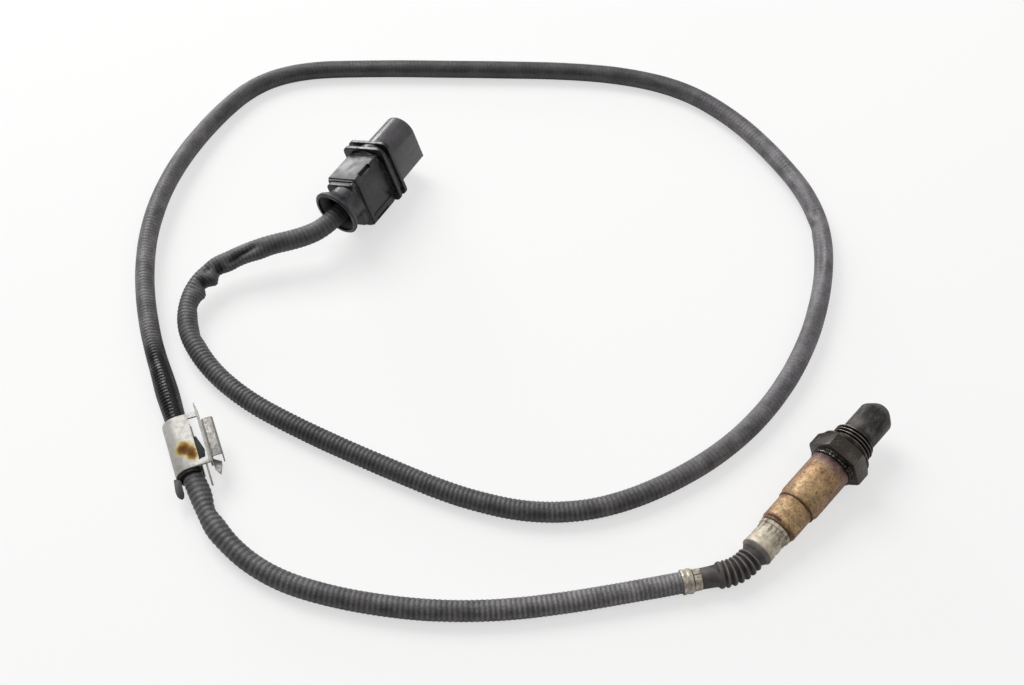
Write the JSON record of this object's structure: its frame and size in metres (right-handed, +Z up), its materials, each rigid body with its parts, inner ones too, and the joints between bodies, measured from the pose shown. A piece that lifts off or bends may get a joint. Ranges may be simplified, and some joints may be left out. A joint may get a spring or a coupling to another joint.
{
  "type": "oxygen sensor",
  "caption": "Exhaust oxygen sensor with hex and threaded nose, bellows boot, ribbed lead, sheet cable clip and sealed multi-way plug.",
  "frame": {"origin": "on the surface it lies on, under the middle of the sensor head", "axes": "+Z up, +X level along the head toward the tip, with the thread axis tipped up from it; the lead lies on the +Y side"},
  "size_m": [0.331, 0.3588, 0.0335],
  "materials": {
    "burnt_steel": "burnt, satin",
    "washer_steel": "burnt",
    "sooty_steel": "sooty, satin",
    "tinted_steel": "heat tinted",
    "silver_steel": "satin with brown stains",
    "ferrule_steel": "satin",
    "ceramic": "ceramic",
    "powder": "pressed powder",
    "contact_metal": "plated",
    "spring_steel": "bright",
    "boot_rubber": "matte, dusty",
    "seal_rubber": "matte",
    "conduit_rubber": "ribbed, dusty",
    "liner_rubber": "matte",
    "clip_steel": "bright zinc",
    "wire_jacket": "smooth",
    "plug_plastic": "moulded, satin",
    "gasket_rubber": "glossy",
    "carrier_plastic": "moulded",
    "lock_plastic": "moulded",
    "resistor_body": "smooth"
  },
  "bodies": {
    "root": {"hex_body": "burnt_steel", "seal_washer": "washer_steel", "outer_protection_tube": "sooty_steel", "inner_protection_tube": "sooty_steel", "sensing_element": "ceramic", "lower_insulator": "ceramic", "powder_seal": "powder", "upper_insulator": "ceramic", "contact_holder": "ceramic", "contact_springs": "contact_metal", "contact_clamp_ring": "spring_steel", "lower_sleeve": "tinted_steel", "upper_sleeve": "tinted_steel", "crimp_collar": "silver_steel", "cable_grommet": "seal_rubber", "sensor_leads": "wire_jacket", "bellows_boot": "boot_rubber", "boot_ferrule": "ferrule_steel", "conduit": "conduit_rubber", "retaining_clip": "clip_steel", "edge_spring": "clip_steel", "clip_liner": "liner_rubber", "plug_housing": "plug_plastic", "plug_gasket": "gasket_rubber", "plug_backshell": "plug_plastic", "pin_carrier": "carrier_plastic", "contact_pins": "contact_metal", "terminal_lock": "lock_plastic", "trim_resistor": "resistor_body", "wire_seal": "seal_rubber", "plug_leads": "wire_jacket"}
  },
  "joints": []
}
